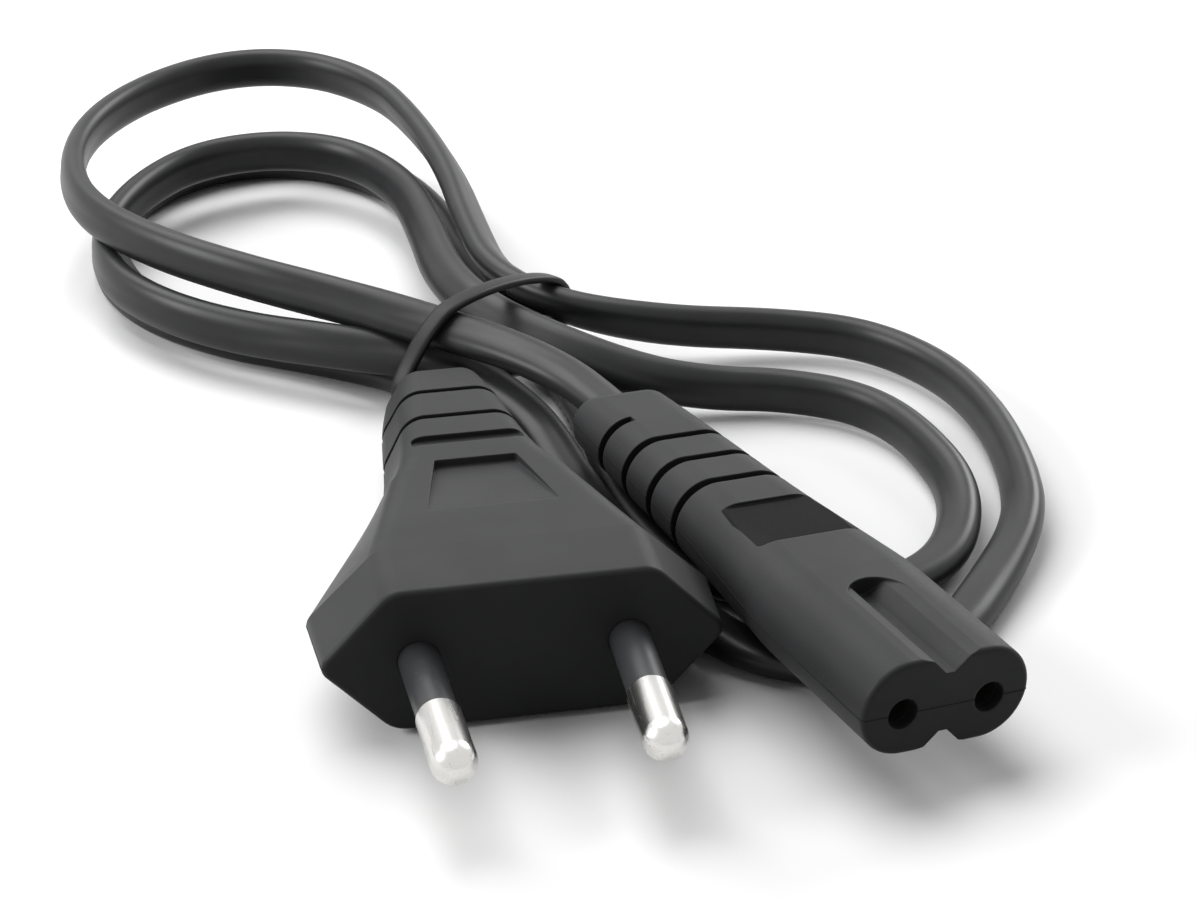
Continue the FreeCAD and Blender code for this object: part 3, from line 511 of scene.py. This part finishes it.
# %% Helpers for shader nodes
def new_effect(name, inputs, outputs):
    """Empty shader group with named input and output sockets."""
    group = bpy.data.node_groups.new(name, "ShaderNodeTree")
    for label, value in inputs:
        kind = "NodeSocketVector" if isinstance(value, tuple) else "NodeSocketFloat"
        group.interface.new_socket(name=label, in_out="INPUT", socket_type=kind).default_value = value
    for label, kind in outputs:
        group.interface.new_socket(name=label, in_out="OUTPUT", socket_type="NodeSocket" + kind)
    return group, group.nodes.new("NodeGroupInput").outputs, group.nodes.new("NodeGroupOutput").inputs


def place_node(tree, kind, inputs=None, **settings):
    """New shader node; an input given as a socket is linked, any other value is set."""
    made = tree.nodes.new("ShaderNode" + kind)
    for key, value in settings.items():
        setattr(made, key, value)
    for key, value in (inputs or {}).items():
        if isinstance(value, bpy.types.NodeSocket):
            tree.links.new(value, made.inputs[key])
        else:
            made.inputs[key].default_value = value
    return made


def calc(tree, operation, first, second=0.0, third=0.0):
    """Result of one sum on two or three values."""
    return place_node(tree, "Math", {0: first, 1: second, 2: third}, operation=operation).outputs[0]


def span(tree, value, low, high, to_low=0.0, to_high=1.0):
    """A value carried from one range to another, held at the ends."""
    return place_node(tree, "MapRange", {"Value": value, "From Min": low, "From Max": high,
                                         "To Min": to_low, "To Max": to_high}).outputs["Result"]


# %% [markdown]
# Moulded plastic copies its tool. The tool was spark eroded, which leaves tiny even pits, and larger
# areas are slightly uneven from polishing. Two noises of very different size give both. They use the
# object's own coordinates in metres, so the grain has one real size on every piece.

# %% Effect: spark grain
def make_spark_grain():
    """Height and tone of a spark-eroded surface."""
    group, given, result = new_effect(
        "spark_grain", [("Pits per metre", 3200.0), ("Swells per metre", 110.0), ("Swell share", 0.35)],
        [("Height", "Float"), ("Tone", "Float")])
    where = place_node(group, "TexCoord").outputs["Object"]
    pits = place_node(group, "TexNoise", {"Vector": where, "Scale": given["Pits per metre"],
                                          "Detail": 2.5, "Roughness": 0.62}).outputs["Fac"]
    swells = place_node(group, "TexNoise", {"Vector": where, "Scale": given["Swells per metre"],
                                            "Detail": 2.0, "Roughness": 0.5}).outputs["Fac"]
    both = place_node(group, "Mix", {0: given["Swell share"], 2: pits, 3: swells})
    group.links.new(both.outputs[0], result["Height"])
    group.links.new(span(group, swells, 0.3, 0.7), result["Tone"])
    return group


SPARK_GRAIN = make_spark_grain()
print("nodes in the spark grain:", len(SPARK_GRAIN.nodes))

# %% [markdown]
# No moulded edge is truly sharp. Instead of rounding hundreds of edges in the mesh, the Bevel node
# looks at the surface a fraction of a millimetre around each point and returns a softened normal. How
# far that differs from the true normal is also a mask of the edges, where handling polishes plastic,
# and where the plastic finish paints a lighter sheen.

# %% Effect: soft edges
def make_soft_edges():
    """Softened normal, and a mask of the edges."""
    group, given, result = new_effect("soft_edges", [("Radius", 0.25 * MM)],
                                      [("Normal", "Vector"), ("Edge", "Float")])
    rounded = place_node(group, "Bevel", {"Radius": given["Radius"]}, samples=6).outputs["Normal"]
    true = place_node(group, "NewGeometry").outputs["Normal"]
    likeness = place_node(group, "VectorMath", {0: rounded, 1: true}, operation="DOT_PRODUCT")
    group.links.new(rounded, result["Normal"])
    group.links.new(span(group, likeness.outputs["Value"], 0.98, 0.8), result["Edge"])
    return group


SOFT_EDGES = make_soft_edges()
print("nodes in the soft edges:", len(SOFT_EDGES.nodes))

# %% [markdown]
# Things that are picked up carry faint traces: patches rubbed smoother by fingers, and a little dull
# dust that settles on what faces up. Both are soft masks. They are kept weak, because the real lead
# is nearly new.

# %% Effect: handling
def make_handling():
    """Masks of rubbed patches and of settled dust."""
    group, given, result = new_effect(
        "handling", [("Patches per metre", 60.0), ("Specks per metre", 1500.0)],
        [("Rubbed", "Float"), ("Dust", "Float")])
    where = place_node(group, "TexCoord").outputs["Object"]
    patches = place_node(group, "TexNoise", {"Vector": where, "Scale": given["Patches per metre"],
                                             "Detail": 3.0, "Distortion": 0.6}).outputs["Fac"]
    specks = place_node(group, "TexVoronoi", {"Vector": where, "Scale": given["Specks per metre"]})
    normal = place_node(group, "NewGeometry").outputs["Normal"]
    facing_up = place_node(group, "SeparateXYZ", {0: normal}).outputs["Z"]
    grains = span(group, specks.outputs["Distance"], 0.22, 0.08)
    settled = calc(group, "MULTIPLY", grains, span(group, facing_up, 0.3, 1.0))
    drifted = span(group, patches, 0.35, 0.65, 0.15, 1.0)
    group.links.new(span(group, patches, 0.48, 0.68), result["Rubbed"])
    group.links.new(calc(group, "MULTIPLY", settled, drifted), result["Dust"])
    return group


HANDLING = make_handling()
print("nodes in the handling:", len(HANDLING.nodes))

# %% [markdown]
# The cord's jacket is pressed hot through a die, so its marks run lengthwise: very fine lines, and a
# slow wander in the surface. The noise is read from the cord's own lengthwise map, stretched forty
# times along the cord.

# %% Effect: drawn lines
def make_drawn_lines():
    """Height and tone of a jacket pressed through a die."""
    group, given, result = new_effect("drawn_lines", [("Lines per metre", 2600.0), ("Stretch", 40.0)],
                                      [("Height", "Float"), ("Tone", "Float")])
    flat = place_node(group, "UVMap", uv_map="lengthwise").outputs["UV"]
    parts = place_node(group, "SeparateXYZ", {0: flat})
    slow = calc(group, "DIVIDE", parts.outputs["Y"], given["Stretch"])
    stretched = place_node(group, "CombineXYZ", {"X": parts.outputs["X"], "Y": slow}).outputs[0]
    lines = place_node(group, "TexNoise", {"Vector": stretched, "Scale": given["Lines per metre"],
                                           "Detail": 2.0}).outputs["Fac"]
    wander = place_node(group, "TexNoise", {"Vector": flat, "Scale": 180.0, "Detail": 2.0}).outputs["Fac"]
    both = place_node(group, "Mix", {0: 0.4, 2: lines, 3: wander})
    group.links.new(both.outputs[0], result["Height"])
    group.links.new(span(group, wander, 0.3, 0.7), result["Tone"])
    return group


DRAWN_LINES = make_drawn_lines()
print("nodes in the drawn lines:", len(DRAWN_LINES.nodes))

# %% [markdown]
# The pins are turned on a lathe and nickel plated, then pushed in and pulled out of sockets. So they
# have fine rings round the axis, and a few scratches along it. The coordinates are turned until the
# pin's axis is Y. Noise squeezed along Y makes the rings, and noise stretched along Y the scratches.

# %% Effect: turned metal
def make_turned_metal():
    """Height of the turned rings, and a mask of scratches."""
    group, given, result = new_effect("turned_metal", [("Axis turn", 0.0), ("Rings per metre", 9000.0)],
                                      [("Height", "Float"), ("Scratch", "Float")])
    where = place_node(group, "TexCoord").outputs["Object"]
    turned = place_node(group, "VectorRotate", {"Vector": where, "Angle": given["Axis turn"]},
                        rotation_type="Z_AXIS")
    parts = place_node(group, "SeparateXYZ", {0: turned.outputs[0]}).outputs
    ring_place = place_node(group, "CombineXYZ", {"Y": parts["Y"]}).outputs[0]
    turned_rings = place_node(group, "TexNoise", {"Vector": ring_place, "Detail": 1.0,
                                                  "Scale": given["Rings per metre"]})
    slow = calc(group, "MULTIPLY", parts["Y"], 0.03)
    scratch_place = place_node(group, "CombineXYZ", {"X": parts["X"], "Y": slow, "Z": parts["Z"]}).outputs[0]
    scratches = place_node(group, "TexNoise", {"Vector": scratch_place, "Scale": 5200.0, "Detail": 2.0})
    group.links.new(turned_rings.outputs["Fac"], result["Height"])
    group.links.new(span(group, scratches.outputs["Fac"], 0.62, 0.74), result["Scratch"])
    return group


TURNED_METAL = make_turned_metal()
print("nodes in the turned metal:", len(TURNED_METAL.nodes))

# %% [markdown]
# The bare panel pressed into the connector was left rough in the tool. Its colour is also darkened, a
# painted shade that makes it look darker than the skin round it. A mask finds it by place: the point is
# measured in the connector's own axes, and it counts where it lies inside a box that holds the panel's
# floor and nothing else.

# %% Effect: panel floor
def make_panel_floor():
    """Mask of the points inside a box in a rolled piece's own axes."""
    group, given, result = new_effect(
        "panel_floor", [("Origin", (0.0, 0.0, 0.0)), ("Roll", 0.0), ("Middle", (0.0, 0.0, 0.0)),
                        ("Half size", (1.0, 1.0, 1.0))], [("Panel", "Float")])
    where = place_node(group, "TexCoord").outputs["Object"]
    from_nose = place_node(group, "VectorMath", {0: where, 1: given["Origin"]}, operation="SUBTRACT")
    own = place_node(group, "VectorRotate", {"Vector": from_nose.outputs[0], "Angle": given["Roll"]},
                     rotation_type="Y_AXIS")
    off = place_node(group, "VectorMath", {0: own.outputs[0], 1: given["Middle"]}, operation="SUBTRACT")
    far = place_node(group, "VectorMath", {0: off.outputs[0]}, operation="ABSOLUTE")
    room = place_node(group, "VectorMath", {0: given["Half size"], 1: far.outputs[0]},
                      operation="SUBTRACT")
    sides = place_node(group, "SeparateXYZ", {0: room.outputs[0]}).outputs
    least = calc(group, "MINIMUM", calc(group, "MINIMUM", sides["X"], sides["Y"]), sides["Z"])
    group.links.new(calc(group, "GREATER_THAN", least, 0.0), result["Panel"])
    return group


PANEL_FLOOR = make_panel_floor()
print("nodes in the panel floor:", len(PANEL_FLOOR.nodes))

# %% [markdown]
# A finish joins the effects in one Principled shader. For plastic, the tone wanders a little between
# a dark and a light value of the same colour. Edges get a painted sheen that lightens their colour.
# Rubbed patches and edges are smoother, dust is greyer and rougher, and a rough panel gets painted
# shade. Values that are the same all over, such as the specular level, are set on the shader itself.

# %% Helpers for finishes
def group_node(tree, effect, **inputs):
    """One shared effect placed in a material; an underscore in a name stands for a space."""
    made = place_node(tree, "Group", node_tree=effect)
    for key, value in inputs.items():
        made.inputs[key.replace("_", " ")].default_value = value
    return made.outputs


def new_finish(name, specular):
    """Material with its shader, ready for effects."""
    material = bpy.data.materials.new(name)
    material.use_nodes = True
    shader = material.node_tree.nodes["Principled BSDF"]
    shader.inputs["Specular IOR Level"].default_value = specular
    return material, material.node_tree, shader.inputs


def blend_colour(tree, share, low, high):
    """Colour between two, by a mask."""
    mixed = place_node(tree, "Mix", {0: share}, data_type="RGBA")
    for socket, colour in ((6, low), (7, high)):
        if isinstance(colour, bpy.types.NodeSocket):
            tree.links.new(colour, mixed.inputs[socket])
        else:
            mixed.inputs[socket].default_value = (*colour, 1.0)
    return mixed.outputs[2]


def bump(tree, height, normal, strength, depth):
    """Normal pressed by a height of so many metres."""
    pressed = {"Height": height, "Strength": strength, "Distance": depth}
    if normal:
        pressed["Normal"] = normal
    return place_node(tree, "Bump", pressed).outputs["Normal"]


# %% Finish: plastic
DUST, DUST_COVER, DUST_ROUGHER = (0.16, 0.155, 0.15), 0.18, 0.25
# Painted sheen: moulded edges are lightened in colour to stand in for the light they catch; only their
# polish in roughness is real.
EDGE_SHEEN_COVER, EDGE_SHEEN_LIGHTER, GRAIN_STRENGTH = 0.35, 2.2, 0.55
# Painted shade: the connector's panel floor is darkened to a quarter of the dark tone; its added roughness
# is real.
PANEL_SHADE, PANEL_ROUGHER = 0.25, 0.35


def plastic(name, dark, light, rough, specular, pits=3200.0, depth=0.03, edge_radius=0.25, polish=0.08,
            panel=None):
    """Moulded plastic with grain, soft polished edges with a painted sheen, faint traces of use and perhaps
    a rough panel with painted shade.
    """
    material, tree, shader = new_finish(name, specular)
    grain = group_node(tree, SPARK_GRAIN, Pits_per_metre=pits)
    edges = group_node(tree, SOFT_EDGES, Radius=edge_radius * MM)
    used = group_node(tree, HANDLING)
    tone = blend_colour(tree, grain["Tone"], dark, light)
    if panel:
        floor = group_node(tree, PANEL_FLOOR, **panel)["Panel"]
        # Painted shade: the panel's floor is darkened in colour, on top of its real extra roughness.
        tone = blend_colour(tree, floor, tone, [c * PANEL_SHADE for c in dark])
        rough = calc(tree, "MULTIPLY_ADD", floor, PANEL_ROUGHER, rough)
    # Painted sheen: the edge mask lightens the colour towards a brighter grey.
    edge_sheen_share = calc(tree, "MULTIPLY", edges["Edge"], EDGE_SHEEN_COVER)
    sheen_edged = blend_colour(tree, edge_sheen_share, tone, [c * EDGE_SHEEN_LIGHTER for c in light])
    dusty = blend_colour(tree, calc(tree, "MULTIPLY", used["Dust"], DUST_COVER), sheen_edged, DUST)
    tree.links.new(dusty, shader["Base Color"])
    worn = calc(tree, "MAXIMUM", used["Rubbed"], edges["Edge"])
    smooth = calc(tree, "MULTIPLY_ADD", worn, -polish, rough)
    tree.links.new(calc(tree, "MULTIPLY_ADD", used["Dust"], DUST_ROUGHER, smooth), shader["Roughness"])
    pressed = bump(tree, grain["Height"], edges["Normal"], GRAIN_STRENGTH, depth * MM)
    tree.links.new(pressed, shader["Normal"])
    return material


# %% [markdown]
# The soft black vinyl of both mouldings has a satin face. It isn't pure black: held to the light it is
# a very dark, slightly cool grey. The connector has the same skin with its rough panel and the panel's
# painted shade, so it gets a finish of its own.

# %% Finish of the mouldings
VINYL_DARK, VINYL_LIGHT = (0.028, 0.0285, 0.0295), (0.036, 0.0365, 0.038)
VINYL_ROUGH, VINYL_SPECULAR = 0.5, 0.14
PANEL_MIDDLE, PANEL_HALF = (0.0, 27.5 * MM, 3.45 * MM), (5.1 * MM, 4.05 * MM, 0.12 * MM)
MOULDING = plastic("moulding", VINYL_DARK, VINYL_LIGHT, VINYL_ROUGH, VINYL_SPECULAR)
PANEL = {"Origin": tuple(connector_point(0, 0, 0)), "Roll": -math.radians(CONNECTOR_ROLL),
         "Middle": PANEL_MIDDLE, "Half_size": PANEL_HALF}
CONNECTOR_SKIN = plastic("connector_moulding", VINYL_DARK, VINYL_LIGHT, VINYL_ROUGH, VINYL_SPECULAR,
                         panel=PANEL)
print("moulding finishes:", MOULDING.name, CONNECTOR_SKIN.name)

# %% [markdown]
# The sleeves on the pins, the tie, the hard carriers inside and the two cores are the same kind of
# surface, each with its own grain. The cores are blue and brown, the colours that such cords have
# inside. The seam bead is where the tool closes, and there the plastic is torn, not pressed smooth, so it
# is duller. Its colour is set much darker than the moulding, and it reads as a thin dark line.

# %% Finishes of the other plastic pieces
SLEEVE = plastic("sleeve", (0.03, 0.031, 0.033), (0.04, 0.041, 0.044), 0.36, 0.45, pits=5200.0,
                 depth=0.012, edge_radius=0.12)
STRAP = plastic("tie", (0.008, 0.008, 0.0085), (0.012, 0.012, 0.0128), 0.45, 0.22, pits=4200.0,
                depth=0.02, edge_radius=0.15)
CARRIER = plastic("carrier", (0.016, 0.016, 0.017), (0.024, 0.024, 0.025), 0.6, 0.3, pits=2400.0,
                  depth=0.04, edge_radius=0.1)
CORE_BLUE = plastic("core_blue", (0.014, 0.045, 0.22), (0.02, 0.07, 0.32), 0.45, 0.4, pits=5200.0,
                    depth=0.012, edge_radius=0.1)
CORE_BROWN = plastic("core_brown", (0.07, 0.026, 0.011), (0.11, 0.042, 0.019), 0.45, 0.4, pits=5200.0,
                     depth=0.012, edge_radius=0.1)
SEAM_VINYL = plastic("seam", (0.008, 0.008, 0.0085), (0.012, 0.012, 0.0125), 0.7, 0.15,
                     edge_radius=0.03, polish=0.0)
print("materials so far:", len(bpy.data.materials))

# %% [markdown]
# The cord's jacket is extruded, not moulded. It is glossier and smoother than the mouldings, it has no
# edges to soften, and its marks run lengthwise, so it has a finish built on the drawn lines.

# %% Finish: cord jacket
JACKET_DARK, JACKET_LIGHT = (0.018, 0.0184, 0.0193), (0.026, 0.0265, 0.0278)
JACKET_ROUGH, JACKET_SPECULAR, JACKET_POLISH, JACKET_DUST = 0.4, 0.28, 0.07, 0.12
JACKET_MARKS, JACKET_DEPTH = 0.5, 0.02 * MM


def jacket_vinyl():
    """Extruded vinyl: smoother than the mouldings, with marks that run lengthwise."""
    material, tree, shader = new_finish("jacket", JACKET_SPECULAR)
    drawn = group_node(tree, DRAWN_LINES)
    used = group_node(tree, HANDLING, Patches_per_metre=45.0)
    tone = blend_colour(tree, drawn["Tone"], JACKET_DARK, JACKET_LIGHT)
    dusty = blend_colour(tree, calc(tree, "MULTIPLY", used["Dust"], JACKET_DUST), tone, DUST)
    tree.links.new(dusty, shader["Base Color"])
    smooth = calc(tree, "MULTIPLY_ADD", used["Rubbed"], -JACKET_POLISH, JACKET_ROUGH)
    tree.links.new(smooth, shader["Roughness"])
    tree.links.new(bump(tree, drawn["Height"], None, JACKET_MARKS, JACKET_DEPTH), shader["Normal"])
    return material


JACKET = jacket_vinyl()
print("nodes in the jacket:", len(JACKET.node_tree.nodes))

# %% [markdown]
# Plated and bare metals differ in colour and in how fresh the surface is. All get the turned marks,
# and scratches are a little rougher and darker than the plating round them. The axis of the plug's
# metal is turned by the plug's own angle on the floor.

# %% Finish: metal
SCRATCH_ROUGHER, RING_STRENGTH, RING_DEPTH, METAL_EDGE = 0.16, 0.35, 0.008 * MM, 0.15 * MM


def metal(name, clean, scratched, rough, axis_turn=0.0):
    """Turned metal with rings round its axis and scratches along it."""
    material, tree, shader = new_finish(name, 0.5)
    shader["Metallic"].default_value = 1.0
    turned = group_node(tree, TURNED_METAL, Axis_turn=math.radians(axis_turn))
    edges = group_node(tree, SOFT_EDGES, Radius=METAL_EDGE)
    tree.links.new(blend_colour(tree, turned["Scratch"], clean, scratched), shader["Base Color"])
    dulled = calc(tree, "MULTIPLY_ADD", turned["Scratch"], SCRATCH_ROUGHER, rough)
    tree.links.new(dulled, shader["Roughness"])
    pressed = bump(tree, turned["Height"], edges["Normal"], RING_STRENGTH, RING_DEPTH)
    tree.links.new(pressed, shader["Normal"])
    return material


NICKEL = metal("pin_metal", (0.66, 0.65, 0.63), (0.45, 0.44, 0.42), 0.24, axis_turn=-PLUG_YAW)
BRASS = metal("contact_metal", (0.52, 0.39, 0.17), (0.36, 0.26, 0.11), 0.32)
COPPER = metal("copper", (0.62, 0.29, 0.16), (0.4, 0.17, 0.09), 0.34, axis_turn=-PLUG_YAW)
print("metals:", NICKEL.name, BRASS.name, COPPER.name)

# %% [markdown]
# Each piece of the frame comes with the name of the material slot that its record gives it. A table
# from slot to finish dresses all of them in one loop, so that no piece can be forgotten.

# %% Finishes on the pieces of the frame
LOOKS = {
    "moulding": MOULDING, "jacket": JACKET, "tie": STRAP, "sleeve": SLEEVE, "carrier": CARRIER,
    "pin_metal": NICKEL, "contact_metal": BRASS, "copper": COPPER, "core_blue": CORE_BLUE,
    "core_brown": CORE_BROWN,
}
for entry in frame["record"]["subparts"]:
    slots = nodes[entry["node"]].data.materials
    slots.clear()
    slots.append(CONNECTOR_SKIN if entry["node"] == "connector_body" else LOOKS[entry["material_slot"]])

# %% [markdown]
# The new pieces take their places in the model. The flat cord stands for the plain tube of the frame,
# and the tight strap for the plain band. The seams lie on pieces that stay as they are. Everything
# rides on the one body, because nothing here moves.

# %% New pieces join the model
NEW_PIECES = ((cord, JACKET, "jacket"), (tie, STRAP, "tie"), (connector_seam, SEAM_VINYL, "moulding"),
              (plug_seam, SEAM_VINYL, "moulding"))
for piece, finish, slot in NEW_PIECES:
    piece.data.materials.append(finish)
    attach(piece, "root")
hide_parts("cord")
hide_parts("cord_tie")
print("new pieces:", [piece.name for piece, finish, slot in NEW_PIECES])

# %% [markdown]

# %% [markdown]
# The lead lies on a white sweep. To the camera, and in reflections, the floor is white and keeps the
# shadows. To light that bounces about, it is a dark grey, because a real table stands in a dim room
# and doesn't light the sides of the plug from below as a floor without end would.

# %% Floor
FLOOR_WHITE, FLOOR_BOUNCE = 0.95, 0.1


def seen_directly(tree):
    """One for camera, reflection and see-through rays, nought for light that bounces about."""
    rays = place_node(tree, "LightPath").outputs
    mirrored = calc(tree, "MAXIMUM", rays["Is Glossy Ray"], rays["Is Transmission Ray"])
    return calc(tree, "MAXIMUM", rays["Is Camera Ray"], mirrored)


def floor_sheet(half, drop):
    """Large flat sheet just under the lead."""
    z = (FLOOR_Z - drop) * MM
    sheet = mesh_object("floor", [(-half, -half, z), (half, -half, z), (half, half, z), (-half, half, z)],
                        [(0, 1, 2, 3)], smooth=False)
    material, tree, shader = new_finish("floor_white", 0.0)
    shader["Roughness"].default_value = 1.0
    colour = blend_colour(tree, seen_directly(tree), [FLOOR_BOUNCE] * 3, [FLOOR_WHITE] * 3)
    tree.links.new(colour, shader["Base Color"])
    sheet.data.materials.append(material)
    return sheet


print("floor in m:", [round(v, 2) for v in floor_sheet(half=3.0, drop=0.02).dimensions])

# %% [markdown]
# All round the floor lies the world itself. This camera looks down and doesn't see that far, but the
# pins mirror it. It is white to the camera and in reflections, and gives only a weak light from all
# round. A white wall would do the same, but its edges could show in the pins.

# %% Backdrop
BACKDROP_SEEN, BACKDROP_LIGHT = 1.0, 0.17


def backdrop():
    """White all round for the camera and reflections, dim for everything else."""
    world = bpy.data.worlds.new("studio")
    scene.world = world
    world.use_nodes = True
    world.cycles.sampling_method = "NONE"
    tree = world.node_tree
    strength = span(tree, seen_directly(tree), 0.0, 1.0, BACKDROP_LIGHT, BACKDROP_SEEN)
    tree.links.new(strength, tree.nodes["Background"].inputs["Strength"])
    tree.nodes["Background"].inputs["Color"].default_value = (1.0, 1.0, 1.0, 1.0)


backdrop()
print("world:", scene.world.name)

# %% [markdown]
# Three large soft lamps light the lead, all from a little behind, so that its shadow falls towards
# the viewer and its top edges are brighter than its sides: one high overhead, one to the left for the
# slope of the plug, and one to the right for the loops. Large lamps give long soft gradients on satin
# plastic, small ones only hot spots.

# %% Lamps
def soft_lamp(name, place, aim, size, power):
    """Round area lamp turned to a point."""
    lamp = bpy.data.lights.new(name, "AREA")
    lamp.shape = "DISK"
    lamp.size = size
    lamp.energy = power
    holder = bpy.data.objects.new(name, lamp)
    holder.location = Vector(place)
    holder.rotation_mode = "QUATERNION"
    holder.rotation_quaternion = (Vector(aim) - Vector(place)).to_track_quat("-Z", "Y")
    scene.collection.objects.link(holder)


AIM = (0, 0.03, 0)
soft_lamp("overhead", (-0.08, 0.5, 0.8), AIM, 0.9, 8.2)
soft_lamp("left", (-0.9, 0.3, 0.5), AIM, 0.5, 6.5)
soft_lamp("right", (0.85, 0.5, 0.5), AIM, 0.5, 5.0)
print("lamps:", len(bpy.data.lights))
